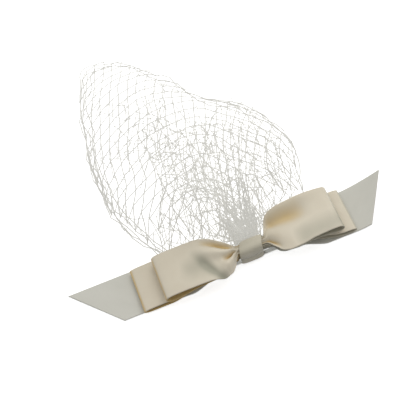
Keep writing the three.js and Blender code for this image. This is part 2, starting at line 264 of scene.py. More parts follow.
def satin_relief(tree, along, across, ribbon_width):
    """The fine rib across the ribbon, the finer threads that float along it, and the woven edges."""
    rib = math_node(tree, "SINE", math_node(tree, "MULTIPLY", along, 2 * math.pi / rib_pitch))
    thread = math_node(tree, "SINE", math_node(tree, "MULTIPLY", across, 2 * math.pi / thread_pitch))
    weave = math_node(tree, "ADD", rib, math_node(tree, "MULTIPLY", thread, 0.6))
    from_middle = math_node(tree, "ABSOLUTE", math_node(tree, "SUBTRACT", across, ribbon_width / 2))
    edge = math_node(tree, "GREATER_THAN", from_middle, ribbon_width / 2 - woven_edge)
    return math_node(tree, "ADD", weave, math_node(tree, "MULTIPLY", edge, 2.5))


# %% Mix the satin finish
def woven_satin(name, light, deep, cool, warm, roughness, ribbon_width):
    material, tree, shader = new_finish(name)
    place = tree.nodes.new("ShaderNodeUVMap")
    place.uv_map = "ribbon_mm"
    parts = tree.nodes.new("ShaderNodeSeparateXYZ")
    link(tree, place.outputs["UV"], parts.inputs[0])
    relief = satin_relief(tree, parts.outputs["X"], parts.outputs["Y"], ribbon_width)
    raise_surface(tree, shader, relief, strength=0.22, depth=0.00005)
    # the painted shade of the folds, moved a little by clouds
    cloud = cloud_node(tree, place.outputs["UV"], scale=0.055, detail=3)
    drift = math_node(tree, "MULTIPLY", math_node(tree, "SUBTRACT", cloud, 0.5), 0.2)
    tint = tree.nodes.new("ShaderNodeAttribute")
    tint.attribute_name = "painted_fold_shade"
    # cool is a painted shade, light is the plain cream, and deep and warm are a darker, warmer painted
    # shade deep in the folds
    stops = [(0.0, cool), (0.46, light), (0.54, deep), (1.0, warm)]
    colour = ramp_node(tree, math_node(tree, "ADD", tint.outputs["Fac"], drift), stops)
    link(tree, colour, shader.inputs["Base Color"])
    shine = math_node(tree, "MULTIPLY_ADD", cloud, 0.12, roughness - 0.06)
    link(tree, shine, shader.inputs["Roughness"])
    shader.inputs["Specular IOR Level"].default_value = 0.45
    shader.inputs["Sheen Weight"].default_value = 0.25
    shader.inputs["Sheen Roughness"].default_value = 0.4
    return material


ribbon_width = 38
# painted shade colours for the folds: cool for slopes in shade, warm for light bounced deep in a fold
cool, warm = (0.40, 0.385, 0.295), (0.63, 0.455, 0.19)
cream, cream_deep = (0.73, 0.665, 0.53), (0.70, 0.63, 0.495)
# the tails' cream is painted paler and cooler, a painted reflection of the sky; their rougher finish is
# real
pale, pale_deep = (0.67, 0.66, 0.59), (0.64, 0.63, 0.56)
satin = woven_satin("cream_satin", cream, cream_deep, cool, warm, 0.42, ribbon_width)
satin_tail = woven_satin("cream_satin_tail", pale, pale_deep, cool, warm, 0.5, ribbon_width)
print("satin finishes:", satin.name, satin_tail.name)

# %% [markdown]
# ## Satin ribbon, the strips
# Every stretch of the bow is one long strip, 38 mm wide. It is pinched to a narrow waist
# in the knot and spreads to its full width on both sides. Blender could also let a strip of
# cloth fall into place, but it wouldn't land where a maker's fingers put it. So the strip
# is a grid of rows across the ribbon, which sets each fold where the knot makes it, and a
# thin wall is added at the end.

# %% Set the bow's sizes
# the satin's thickness, its waist in the knot, and the run over which it spreads
wall = 0.4
waist_width, spread_run, pleat_depth = 8.4, 60, 0.7
# the knot band's width and wall, the room inside it, its slant, and its lap in turns
band_width, band_wall, band_gap, band_skew, band_lap = 17, 1.1, 0.55, 1.8, 0.2
# the top and thickness of the clip's plate, its length, and the run down from it to the table
plate_top, plate_wall, clip_length, sink_run = 7.2, 1, 48, 32
# the room between seats, half a layer's height, and the height from layer to layer
seat_gap, half_layer, layer_pitch = 0.3, 0.5, 1.6
# the level of the tails in the knot, and where they lie on the table
tail_waist = plate_top + seat_gap + half_layer + pleat_depth
tail_rest = 1.2
# the waist ends a little outside the slanted band
band_half_depth = waist_width / 2 + band_gap + band_wall / 2
band_slant = band_skew * (1 + (1.5 * band_wall + seat_gap) / band_half_depth)
waist_end = band_width / 2 + band_slant + seat_gap
print("waist ends", round(waist_end, 2), "mm from the knot's middle")

# %% [markdown]
# The table says how the ribbon opens out of the knot: a row gives the run from the waist,
# and how much of the spare width each edge has taken up there. The near edges of the lower
# layers are also tucked in beside the knot, so they hide under the loops above.

# %% Make rows across the ribbon
spread_rows = [
    (0.00, 0.00, 0.00, 0.00, 0.00),
    (0.04, 0.24, 0.20, 0.18, 0.46),
    (0.09, 0.60, 0.36, 0.50, 0.78),
    (0.16, 0.88, 0.54, 0.86, 0.93),
    (0.27, 1.00, 0.80, 1.02, 1.00),
    (0.42, 1.00, 0.98, 1.04, 1.00),
    (0.55, 1.00, 1.00, 1.00, 1.00),
]
spread_share = curves(("near_left", "far_left", "near_right", "far_right"), spread_rows)
across_count = 41
across = np.linspace(0, 1, across_count)[None, :]
pleat_run = 0.3


def ribbon_rows(side, x, z, waist, middle, cut=0, tuck=0):
    """Rows of points in millimetres: one row for each x, from the near edge to the far edge."""
    x, z, middle, cut = (np.asarray(v, float)[:, None] for v in (x, z, middle, cut + 0 * x))
    run = (np.abs(x) - waist_end) / spread_run
    spare = (ribbon_width - waist) / 2
    hand = "left" if side < 0 else "right"
    near = -(waist / 2 + spare * spread_share["near_" + hand](run))
    far = waist / 2 + spare * spread_share["far_" + hand](run)
    near = near + tuck * smoothstep(run, 0, 0.1) * (1 - smoothstep(run, 0.55, 0.95))
    pleat = pleat_depth * np.clip(1 - run / pleat_run, 0, 1)
    wave = np.cos(4 * np.pi * (across - 0.5) * waist / waist_width)
    y = middle + near + (far - near) * across
    return np.stack([x - side * cut * (1 - across), y, z + pleat * wave], axis=-1)


def sink_share(x):
    """How far a layer has come down from the clip's plate towards the table, from 0 to 1."""
    return smoothstep(np.abs(x), clip_length / 2, clip_length / 2 + sink_run)


print("each row has", across_count, "points")


# %% Turn rows into a strip with a wall
def mark_ribbon(mesh, length, tint):
    """The ribbon's own millimetres as a UV map, and the painted shade of the folds from 0 to 1."""
    places = []
    for start, end in zip(length[:-1], length[1:]):
        for low, high in zip(ribbon_width * across[0, :-1], ribbon_width * across[0, 1:]):
            places += [(start, low), (end, low), (end, high), (start, high)]
    uv = mesh.uv_layers.new(name="ribbon_mm")
    uv.data.foreach_set("uv", np.ravel(places))
    tints = mesh.attributes.new("painted_fold_shade", "FLOAT", "POINT")
    tints.data.foreach_set("value", np.ravel(np.clip(0.5 + 0.5 * tint, 0, 1)))


def rows_to_strip(name, rows, material, ring=False, tint=0):
    count, width = rows.shape[:2]
    nexts = np.roll(rows, -1, axis=0) if ring else rows[1:]
    steps = np.linalg.norm(nexts - rows[: len(nexts)], axis=-1).max(axis=1)
    length = np.concatenate([[0], np.cumsum(steps)])
    faces = []
    for i in range(len(nexts)):
        here, there = i * width, (i + 1) % count * width
        faces += [(here + j, there + j, there + j + 1, here + j + 1) for j in range(width - 1)]
    mesh = bpy.data.meshes.new(name)
    mesh.from_pydata((rows.reshape(-1, 3) * MM).tolist(), [], faces)
    mark_ribbon(mesh, length, tint + 0 * rows[..., 0])
    mesh.polygons.foreach_set("use_smooth", [True] * len(mesh.polygons))
    mesh.materials.append(material)
    strip = bpy.data.objects.new(name, mesh)
    bpy.context.scene.collection.objects.link(strip)
    thick = strip.modifiers.new("wall", "SOLIDIFY")
    thick.thickness = wall * MM
    thick.offset = 0
    print(name, "ribbon", round(length[-1]), "mm long,", len(faces), "faces")
    return strip, length[-1]


# %% [markdown]
# ### Loops
# A pair of loops is one ring of ribbon that passes twice through the knot. Half a loop runs
# out along its top, turns at its end and comes back underneath. The table gives that run in
# steps: how far out the ribbon is, how far it has puffed up from the knot, and its level.

# %% Describe the run of a loop
loop_rows = [
    (0, 0.000, 0.00, 1.00), (1, 0.050, 0.20, 1.00), (2, 0.120, 0.55, 1.00), (3, 0.220, 0.88, 1.00),
    (4, 0.350, 1.00, 0.99), (5, 0.520, 1.00, 0.94), (6, 0.740, 1.00, 0.83), (7, 0.915, 1.00, 0.72),
    (8, 0.975, 1.00, 0.60), (9, 1.000, 1.00, 0.35), (10, 0.975, 1.00, 0.10), (11, 0.915, 1.00, 0.00),
    (12, 0.740, 1.00, 0.00), (15, 0.350, 1.00, 0.00), (18, 0.080, 1.00, 0.00), (19, 0.000, 1.00, 0.00),
]
loop_share = curves(("out", "puff", "level"), loop_rows)
end_step, last_step = 9, loop_rows[-1][0]
print("a loop turns at step", end_step, "of", last_step)

# %% [markdown]
# The pinch of the knot pushes folds into the top of the upper pair. Each row is one fold:
# its place across the ribbon at the waist and at its end, its width at both, its height,
# where it begins, is full, starts to fade and ends in millimetres from the waist, and its
# painted shade: below zero a cool painted shade, above zero a warm painted shade as of light
# caught in the fold. A hollow is a fold with a height below zero, and a row without height
# only paints shade.

# %% Fold the puffed tops
# the last number of each row is the fold's painted shade: below zero cool, above zero warm
top_folds = {
    -1: [
        (0.55, 0.66, 0.10, 0.17, 3.6, 0, 5, 14, 36, 0.0),
        (0.82, 0.90, 0.09, 0.07, -3.4, 1, 6, 12, 28, 1.0),
        (0.44, 0.42, 0.04, 0.07, -3.4, 0, 3, 6, 14, 1.0),
        (0.24, 0.22, 0.13, 0.15, 3.4, 0, 4, 9, 17, 0.0),
        (-0.64, 0.80, 0.15, 0.22, -1.5, 9, 14, 22, 36, -1.0),
        (0.34, 0.44, 0.20, 0.26, -0.5, 16, 27, 34, 50, -0.50),
        (0.00, 0.00, 0.08, 0.07, -3.0, 1, 5, 12, 26, 0.0),
    ],
    1: [
        (0.42, 0.28, 0.17, 0.26, 1.3, -2, 1, 8, 24, 0.1),
        (0.80, 0.66, 0.12, 0.19, -3.4, 1, 8, 20, 42, 0.75),
        (0.16, 0.14, 0.06, 0.07, -1.2, -2, 1, 4, 11, 1.0),
        (1.00, 1.00, 0.16, 0.20, 3.0, 1, 7, 30, 60, 0.1),
        (0.15, 0.15, 0.25, 0.25, 0.0, 15, 28, 60, 75, -0.55),
    ],
}
print("folds on the left and right loop:", len(top_folds[-1]), len(top_folds[1]))


def shape_folds(side, x):
    """Height and painted shade that the folds add, for rows at x and every place across the ribbon."""
    run = np.abs(np.asarray(x))[:, None] - waist_end
    height = tint = 0 * run + 0 * across
    for start, end, narrow, wide, tall, begins, full, fades, ends, shade in top_folds[side]:
        t = np.clip(run / ends, 0, 1)
        strength = smoothstep(run, begins, full) * (1 - smoothstep(run, fades, ends))
        from_ridge = (across - start - (end - start) * t) / (narrow + (wide - narrow) * t)
        form = strength * np.exp(-from_ridge ** 2)
        height, tint = height + tall * form, tint + shade * form
    return height, tint


# %% [markdown]
# The ribbon's turned ends and undersides catch light from each other. On the left they look
# warm, and on the right they look cool, so that light is painted on them: a warm painted
# shade on the left and a cool painted shade on the right.

# %% Shape half a loop
end_painted_shade = {-1: 1, 1: -0.6}
lower_tuck, upper_tuck = 5, 3


def half_loop(side, reach, drift, drift_run, waist_top, waist_under, top_share, rest, height, puffed):
    """Rows of half a ring, from the knot over the top to the end and back, with their painted shade."""
    step = np.linspace(0, last_step, 191)
    out = loop_share["out"](step)
    x = side * (waist_end + (reach - waist_end) * out)
    on_top = step < end_step
    folded = on_top & puffed
    waist_level = np.where(on_top, waist_top, waist_under)
    free = np.where(folded, loop_share["puff"](step), sink_share(x))
    z = waist_level + (rest + height * loop_share["level"](step) - waist_level) * free
    waist = (waist_width * np.where(on_top, top_share, 1))[:, None]
    middle = drift * smoothstep(out, 0, drift_run)
    tuck = np.where(folded, 0, upper_tuck if puffed else lower_tuck)[:, None]
    rows = ribbon_rows(side, x, z, waist, middle, tuck=tuck)
    fold_height, tint = (form * folded[:, None] for form in shape_folds(side, x))
    # painted shade on the turned ends and undersides: warm on the left, cool on the right
    tint = tint + end_painted_shade[side] * smoothstep(step, 7.9, 8.7)[:, None]
    # no fold of the top may sink into the ribbon that comes back underneath
    under = (waist_under + (rest - waist_under) * sink_share(x))[:, None] + 2 * wall
    rows[..., 2] = np.maximum(rows[..., 2] + fold_height, np.minimum(under, rows[..., 2]))
    return np.concatenate([rows, tint[..., None]], axis=-1)


# %% Join the halves and lay both pairs
def loop_pair(name, node, reaches, drifts, drift_run, shape, material):
    right = half_loop(1, reaches[1], drifts[1], drift_run, *shape)
    left = half_loop(-1, reaches[0], drifts[0], drift_run, *shape)[::-1]
    rows = np.concatenate([right, left])
    strip, length = rows_to_strip(name, rows[..., :3], material, ring=True, tint=rows[..., 3])
    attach(strip, "root")
    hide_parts(node)
    return strip


lower_waist = tail_waist + layer_pitch
lower_rest, lower_height = tail_rest + layer_pitch, 5
lower_shape = (lower_waist + layer_pitch, lower_waist, 1, lower_rest, lower_height, False)
lower_loops = loop_pair("satin_lower_loops", "lower_loops", (90, 77), (5, 4.5), 0.5, lower_shape, satin)
upper_waist = lower_waist + 2 * layer_pitch
upper_rest, upper_height = lower_rest + lower_height + layer_pitch, 9.5
upper_shape = (upper_waist + layer_pitch, upper_waist, 0.72, upper_rest, upper_height, True)
upper_loops = loop_pair("satin_upper_loops", "upper_loops", (72, 68), (2.5, 5), 1, upper_shape, satin)

# %% [markdown]
# ### Tails
# Both tails are one flat strip under the loops, cut on the slant at its ends. The right
# tail lifts off the table a little.

# %% Cut and lay the tails
tail_tuck = 6
lift, lift_from, lift_to = 9, 78, 112


def half_tail(side, reach, cut, drift):
    out = np.linspace(0, 1, 90)
    x = side * (waist_end + (reach - waist_end) * out)
    z = tail_waist + (tail_rest - tail_waist) * sink_share(x)
    middle = drift * smoothstep(out, 0, 0.5)
    rows = ribbon_rows(side, x, z, waist_width * 0.97, middle, cut * out, tuck=tail_tuck)
    rows[..., 2] += lift * np.clip((rows[..., 0] - lift_from) / (lift_to - lift_from), 0, 1) ** 1.5
    return rows


tail_rows = np.concatenate([half_tail(-1, 140, 34, 7)[::-1], half_tail(1, 112, 23, 4.5)])
tails, tail_length = rows_to_strip("satin_tails", tail_rows, satin_tail)
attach(tails, "root")
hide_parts("ribbon_tails")

# %% [markdown]
# ### Knot band
# A short strip is wound tightly round the waist of the bow and the clip's plate, and its
# end laps over on the near side, where it makes a second roll. It is folded lengthwise, so
# its edges are round. Fine ribs run along the bow, where the winding pulls it tight.

# %% Wind the knot band
stack_top = upper_waist + layer_pitch + pleat_depth + half_layer
band_top = stack_top + band_gap + band_wall / 2
band_under = plate_top - plate_wall - band_gap - band_wall / 2
near_roll, round_edge, rib_height, rib_count = 1.9, 0.8, 0.05, 32


def band_rows(turns):
    """Rows round a box with soft corners. Turns runs from 0 to 1, and past 1 for the lap."""
    middle, half_height = (band_top + band_under) / 2, (band_top - band_under) / 2
    angle = (math.pi - 2 * math.pi * (1 + band_lap) + 2 * math.pi * turns)[:, None]
    grow = (band_wall + seat_gap) * smoothstep(turns, 1 - band_lap, 1)[:, None]
    grow = grow + near_roll * np.exp(-((angle + 0.76 * math.pi) / (0.15 * math.pi)) ** 2)
    ribs = rib_height * np.cos(turns * 2 * math.pi * rib_count)[:, None]
    grow = grow - round_edge * np.abs(2 * across - 1) ** 5 + ribs
    y = (band_half_depth + grow) * np.sign(np.cos(angle)) * np.abs(np.cos(angle)) ** 0.5
    z = middle + (half_height + grow) * np.sign(np.sin(angle)) * np.abs(np.sin(angle)) ** 0.5
    x = (across - 0.5) * band_width + band_skew * y / band_half_depth
    return np.stack([x, y, z], axis=-1)


# the whole knot band is painted in shade, a cooler and darker cream than the loops
band_painted_shade = -0.55
band_turns = np.linspace(0, 1 + band_lap, 400)
band, band_length = rows_to_strip("satin_knot_band", band_rows(band_turns), satin, tint=band_painted_shade)
band.modifiers["wall"].thickness = band_wall * MM
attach(band, "root")
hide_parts("knot_band")

# %% [markdown]
# ## Hair clip
# The clip is one plain bent strip of bright steel, so it keeps its solid and only gets a
# metal finish. It is brushed along its length, so it shines unevenly from line to line.

# %% Brush the clip
def brushed_steel(name):
    material, tree, shader = new_finish(name)
    shader.inputs["Metallic"].default_value = 1
    shader.inputs["Base Color"].default_value = (0.68, 0.68, 0.66, 1)
    place = tree.nodes.new("ShaderNodeTexCoord")
    stretch = tree.nodes.new("ShaderNodeMapping")
    stretch.inputs["Scale"].default_value = (60, 2500, 2500)
    link(tree, place.outputs["Object"], stretch.inputs["Vector"])
    grain = cloud_node(tree, stretch.outputs["Vector"], scale=1, detail=3)
    link(tree, math_node(tree, "MULTIPLY_ADD", grain, 0.3, 0.15), shader.inputs["Roughness"])
    raise_surface(tree, shader, grain, strength=0.15, depth=0.00005)
    return material


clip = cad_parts["hair_clip"]
clip.data.materials.clear()
clip.data.materials.append(brushed_steel("clip_steel"))

# %% [markdown]
# ## Net, the surface that it lies on
# The veil is one piece of net, pinched to a narrow neck behind the knot. From there it
# fans out over a puffed crest, and its hem curls under. Two tables give that form: one
# goes round the neck from ray to ray, the other follows a ray from the neck to the hem.
# A ray has a bearing in degrees, a reach and a height. The section gives the way out, the
# share of the neck's level, the rise and the ripple.

# %% Describe the puffed form of the net
net_rays = [
    (0.00, 157, 0.340, 0.10), (0.06, 153, 0.370, 0.50), (0.13, 147, 0.435, 0.74),
    (0.21, 138, 0.502, 0.84), (0.30, 127, 0.654, 0.88), (0.39, 117, 0.811, 0.88),
    (0.47, 110, 0.970, 0.88), (0.54, 102, 1.000, 0.86), (0.61, 92, 0.781, 0.86),
    (0.68, 82, 0.618, 0.92), (0.75, 71, 0.543, 1.00), (0.82, 59, 0.449, 1.00),
    (0.89, 47, 0.403, 0.86), (0.95, 36, 0.306, 0.52), (1.00, 28, 0.275, 0.10),
]
net_section = [
    (0.00, 0.000, 1.00, 0.00, 0.10), (0.10, 0.075, 0.90, 0.14, 0.30), (0.22, 0.180, 0.60, 0.42, 0.80),
    (0.35, 0.330, 0.20, 0.80, 1.00), (0.48, 0.490, 0.00, 1.00, 0.80), (0.60, 0.650, 0.00, 0.98, 0.50),
    (0.72, 0.810, 0.00, 0.84, 0.40), (0.83, 0.930, 0.00, 0.62, 0.30), (0.91, 0.990, 0.00, 0.38, 0.20),
    (0.96, 1.000, 0.00, 0.18, 0.10), (1.00, 0.980, 0.00, 0.00, 0.00),
]
ray_curve = curves(("bearing", "reach", "height"), net_rays)
section_curve = curves(("out", "neck", "rise", "ripple"), net_section)
net_wall, neck_width, neck_pitch, ripple_count = 1.4, 14, 5.8, 4
neck_back = band_half_depth + band_wall / 2 + seat_gap + net_wall / 2
neck_top = (band_top + band_under + neck_pitch) / 2
print("neck of the net at y", round(neck_back, 2), "z", round(neck_top, 2), "mm")


def net_surface(form, place, step):
    """Points of a puffed net in millimetres. Place runs round the gather, step runs down a ray."""
    place, step = np.broadcast_arrays(np.asarray(place, float), np.asarray(step, float))
    bearing = np.radians(ray_curve["bearing"](place))
    out, rise = section_curve["out"](step)[..., None], section_curve["rise"](step)
    neck = np.stack([(place - 0.5) * neck_width, neck_back + 0 * place], axis=-1)
    turn = neck + np.array([0, form["gather"]])
    reach = form["reach"] * ray_curve["reach"](place) * form["trim"](place)
    end = np.stack([np.cos(bearing), np.sin(bearing)], axis=-1) * reach[..., None]
    plan = neck * (1 - out) ** 2 + 2 * turn * out * (1 - out) + end * out ** 2
    tall = ray_curve["height"](place)
    wave = form["ripple"] * section_curve["ripple"](step) * tall * np.cos(2 * np.pi * ripple_count * place)
    level = net_wall / 2 + (form["level"] - net_wall / 2) * section_curve["neck"](step)
    height = level + form["height"] * tall * rise + wave
    return np.concatenate([plan, height[..., None]], axis=-1)


# %% [markdown]
# A form is that surface at its own height, level of the neck and ripple. "gather" is how far
# the net runs straight back before it fans out. The trim draws each ray in or lets it out,
# until the hem has the outline of the real one. The puff on the right is a second, smaller
# fold of net, and its trim gives the round line that it makes under the outer veil.

# %% Trim the outer veil and the right puff
full_reach = 230
outer_trim = smooth_curve(
    (0, 0.06, 0.10, 0.13, 0.17, 0.21, 0.25, 0.30, 0.39, 0.43,
     0.47, 0.50, 0.54, 0.57, 0.61, 0.68, 0.75, 0.82, 0.89, 1),
    (0.9, 0.92, 0.95, 0.97, 1.035, 1.055, 1.025, 1, 1, 0.99,
     1, 1.03, 0.985, 0.978, 0.99, 1.005, 1, 1.045, 1.005, 0.95),
)
puff_trim = smooth_curve(
    (0.550, 0.565, 0.585, 0.603, 0.637, 0.670, 0.703, 0.737, 0.760, 0.820, 1.000),
    (0.330, 0.360, 0.438, 0.534, 0.720, 0.900, 1.013, 1.070, 1.060, 0.960, 0.940),
)


def net_form(height, level, gather, ripple, trim):
    """The numbers that net_surface needs for one form."""
    return {"reach": full_reach, "height": height, "level": level, "gather": gather,
            "ripple": ripple, "trim": trim}


outer_form = net_form(height=56, level=neck_top, gather=27, ripple=3, trim=outer_trim)
puff_form = net_form(height=54, level=neck_top - 2, gather=27, ripple=2, trim=puff_trim)
print("crest of the outer veil", outer_form["height"], "mm, of the puff", puff_form["height"], "mm")

# %% [markdown]
# ### Net, laid flat and wrapped
# Veil net is knotted from stiff thread in diamonds with sides of about 10 mm. It could be
# a pattern of holes in a material, but then its threads would be flat, and an exported
# model would lose them. Here each thread is real.
# The net is first laid out flat round the neck, as long straight lines and the threads that
# cross them. The crossing threads turn from the left lobe to the right one, as the net was
# pulled round. Then each knot is carried over the puffed form: it keeps its bearing from
# the neck, and its distance is measured along the ray over the crest and down the wall.

# %% Lay the net flat
line_step, cross_step = 11.2, 9.2
line_bearing = math.radians(71.7)
cross_turn = smooth_curve((-60, -20, 20, 60), (11, 11, -44, -44))


def flat_net(middle, first=-14, last=20, half_length=16):
    """Knots of a flat net, each under its line and its place on the line."""
    line = line_step * np.array([math.cos(line_bearing), math.sin(line_bearing)])
    starts = {0: np.array(middle, float)}
    for sign, reach in ((1, last), (-1, -first)):
        for i in range(reach):
            here = starts[sign * i]
            a = math.radians(cross_turn(here[0]))
            starts[sign * (i + 1)] = here + sign * cross_step * np.array([math.cos(a), math.sin(a)])
    places = range(-half_length, half_length + 1)
    return {(i, j): start + j * line for i, start in starts.items() for j in places}


outer_flat = flat_net((-30, 110))
puff_flat = flat_net((24, 66))
print("knots laid flat:", len(outer_flat), len(puff_flat))


# %% Wrap a flat net over a form
def wrap_over(form, flat, last_step, first_step=0):
    """Places on the form for flat points, and which of them lie on the net."""
    bearing = np.degrees(np.arctan2(flat[:, 1], flat[:, 0]))
    places = np.linspace(0, 1, 200)
    bearings = ray_curve["bearing"](places)
    place = np.interp(-bearing, -bearings, places)
    steps = np.linspace(0, 1, 121)
    rays = net_surface(form, place[:, None], steps[None, :])
    gone = np.cumsum(np.linalg.norm(np.diff(rays, axis=1), axis=-1), axis=1)
    gone = np.concatenate([np.zeros((len(flat), 1)), gone], axis=1)
    away = np.linalg.norm(flat, axis=1)
    step = np.array([np.interp(d, g, steps) for d, g in zip(away, gone)])
    kept = (bearing < bearings[0]) & (bearing > bearings[-1]) & (away < gone[:, -1])
    kept &= (step > first_step) & (step < last_step(place))
    return net_surface(form, place, step), kept


def net_threads(keys, points, kept):
    """The kept knots, and a thread from each to the next one along and across its line."""
    number = {key: k for k, key in enumerate(key for key, keep in zip(keys, kept) if keep)}
    threads = []
    for i, j in number:
        for neighbour in ((i + 1, j), (i, j + 1)):
            if neighbour in number:
                threads.append((number[i, j], number[neighbour]))
    return points[kept], np.array(threads)


# %% [markdown]
# Real net is never quite even, so each knot is moved a little by a few smooth waves. They
# fade out at the neck, where the knot of the bow holds the net still. A cloth simulation
# would also do it, but it is slow for so many threads, and its folds are hard to place.

# %% Crumple the net with smooth waves
lowest = 0.8


def smooth_waves(points, seed, length, count=10):
    """A smooth wandering offset for each point, from waves of about the given length."""
    draw = np.random.default_rng(seed)
    aim = draw.normal(size=(count, 3))
    aim /= np.linalg.norm(aim, axis=1, keepdims=True)
    pace = 2 * np.pi / (length * draw.uniform(0.7, 1.4, count))
    phase = points @ aim.T * pace + draw.uniform(0, 2 * np.pi, count)
    return np.sin(phase) @ draw.normal(size=(count, 3)) / math.sqrt(count)


def crumple(points, waves, seed, still=10, free=60):
    away = smoothstep(np.linalg.norm(points[:, :2], axis=1), still, free)[:, None]
    for size, length in waves:
        points = points + away * size * smooth_waves(points, seed + int(length), length)
    points[:, 2] = np.maximum(points[:, 2], lowest)
    return points


print("the middle of a thread stays", lowest, "mm or more above the table")


# %% [markdown]
# ### Net, from knots to meshes
# A thread between two knots is a thin open tube that bows a little, and each knot is a small
# eight-sided bead. Curves with a bevel would give the same look, but tubes made straight
# away need no converting for the export, and a four-sided tube is round enough at this
# size. All threads and beads of one layer of net make one mesh.

# %% Spin tubes
thread_radius, outer_radius, bead_radius, thread_sides = 0.26, 0.4, 0.56, 4


def spin_tubes(paths, radius):
    """Open tubes round paths, which come as threads x points x 3."""
    count, stations = paths.shape[:2]
    ahead = np.empty_like(paths)
    ahead[:, 1:-1] = paths[:, 2:] - paths[:, :-2]
    ahead[:, 0], ahead[:, -1] = paths[:, 1] - paths[:, 0], paths[:, -1] - paths[:, -2]
    ahead /= np.maximum(np.linalg.norm(ahead, axis=-1, keepdims=True), 1e-9)
    helper = np.where(np.abs(ahead[:, :1, 2:]) > 0.9, [1.0, 0, 0], [0, 0, 1.0]) + 0 * ahead
    first = np.cross(ahead, helper)
    first /= np.linalg.norm(first, axis=-1, keepdims=True)
    second = np.cross(ahead, first)
    a = np.arange(thread_sides)
    b = (a + 1) % thread_sides
    angle = 2 * np.pi * a / thread_sides
    ring = first[..., None, :] * np.cos(angle)[:, None] + second[..., None, :] * np.sin(angle)[:, None]
    points = (paths[..., None, :] + radius * ring).reshape(-1, 3)
    rings = np.arange(count)[:, None, None] * stations + np.arange(stations - 1)[None, :, None]
    ring_start, next_start = rings * thread_sides, (rings + 1) * thread_sides
    faces = np.stack([ring_start + a, next_start + a, next_start + b, ring_start + b], axis=-1)
    return points, faces.reshape(-1, 4)[:, ::-1]


print("thread", 2 * thread_radius, "mm thick, in the outer veil", 2 * outer_radius, "mm")


# %% Tie beads and make the mesh
def tie_beads(points, size, seed):
    draw = np.random.default_rng(seed)
    corners = np.array([(1, 0, 0), (0, 1, 0), (-1, 0, 0), (0, -1, 0), (0, 0, 1), (0, 0, -1)], float)
    upper = [(0, 1, 4), (1, 2, 4), (2, 3, 4), (3, 0, 4)]
    lower = [(1, 0, 5), (2, 1, 5), (3, 2, 5), (0, 3, 5)]
    sizes = size * draw.uniform(0.8, 1.3, (len(points), 1, 1))
    beads = points[:, None, :] + sizes * corners
    firsts = len(corners) * np.arange(len(points))[:, None, None]
    return beads.reshape(-1, 3), (np.array(upper + lower)[None] + firsts).reshape(-1, 3)


def bowed_paths(points, threads, bow, seed, stations=4):
    draw = np.random.default_rng(seed)
    start, end = points[threads[:, 0]], points[threads[:, 1]]
    t = np.linspace(0, 1, stations)[None, :, None]
    sag = draw.normal(0, bow, (len(threads), 1, 3)) * (4 * t * (1 - t))
    return start[:, None] * (1 - t) + end[:, None] * t + sag


def net_piece(name, points, threads, material, seed, bow, radius):
    tubes, tube_faces = spin_tubes(bowed_paths(points, threads, bow, seed), radius)
    beads, bead_faces = tie_beads(points, bead_radius, seed + 1)
    mesh = bpy.data.meshes.new(name)
    faces = tube_faces.tolist() + (bead_faces + len(tubes)).tolist()
    mesh.from_pydata((np.concatenate([tubes, beads]) * MM).tolist(), [], faces)
    mesh.polygons.foreach_set("use_smooth", [True] * len(mesh.polygons))
    mesh.materials.append(material)
    piece = bpy.data.objects.new(name, mesh)
    bpy.context.scene.collection.objects.link(piece)
    print(name, len(points), "knots,", len(threads), "threads,", len(faces), "faces")
    return piece


# %% [markdown]
# ### Net, the finish
# The thread is matt and off-white, a little duller in places along its length, and it has
# a fine twist. Real thread lets some light through, which a solid tube can't, so the finish
# also glows faintly, painted light that stands in for it. Without that, the layers would
# darken each other too much.

# %% Mix the thread's finish
def twisted_thread(name, light, deep, painted_glow):
    material, tree, shader = new_finish(name)
    place = tree.nodes.new("ShaderNodeTexCoord").outputs["Object"]
    cloud = cloud_node(tree, place, scale=90, detail=2)
    colour = ramp_node(tree, cloud, [(0.35, deep), (0.65, light)])
    link(tree, colour, shader.inputs["Base Color"])
    twist = tree.nodes.new("ShaderNodeTexWave")
    twist.bands_direction = "DIAGONAL"
    twist.inputs["Scale"].default_value = 900
    link(tree, place, twist.inputs["Vector"])
    raise_surface(tree, shader, twist.outputs["Fac"], strength=0.3, depth=0.0001)
    shader.inputs["Roughness"].default_value = 0.7
    shader.inputs["Specular IOR Level"].default_value = 0.3
    shader.inputs["Emission Color"].default_value = (1, 0.99, 0.94, 1)
    # a faint painted glow, painted light that stands in for the light real thread lets through
    shader.inputs["Emission Strength"].default_value = painted_glow
    return material


thread_finish = twisted_thread("net_thread", (0.50, 0.495, 0.465), (0.44, 0.435, 0.405), 0.31)
print("finish of the net:", thread_finish.name)

# %% [markdown]
# ### Net, the outer veil and the right puff
# The outer layer gives the veil its outline, so its thread is a little thicker. Its far
# side ends a little above the table. A few lines of thread run along the rim of each
# layer, as in a selvedge.


def finish_layer(name, node, net, seed, bow=0.25, radius=thread_radius):
    points, threads = net
    layer = net_piece(name, points, threads, thread_finish, seed, bow, radius)
    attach(layer, "root")
    if node:
        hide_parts(node)
    return layer


def join_nets(*nets):
    starts = np.cumsum([0] + [len(points) for points, _ in nets])
    points = np.concatenate([points for points, _ in nets])
    return points, np.concatenate([threads + start for (_, threads), start in zip(nets, starts)])


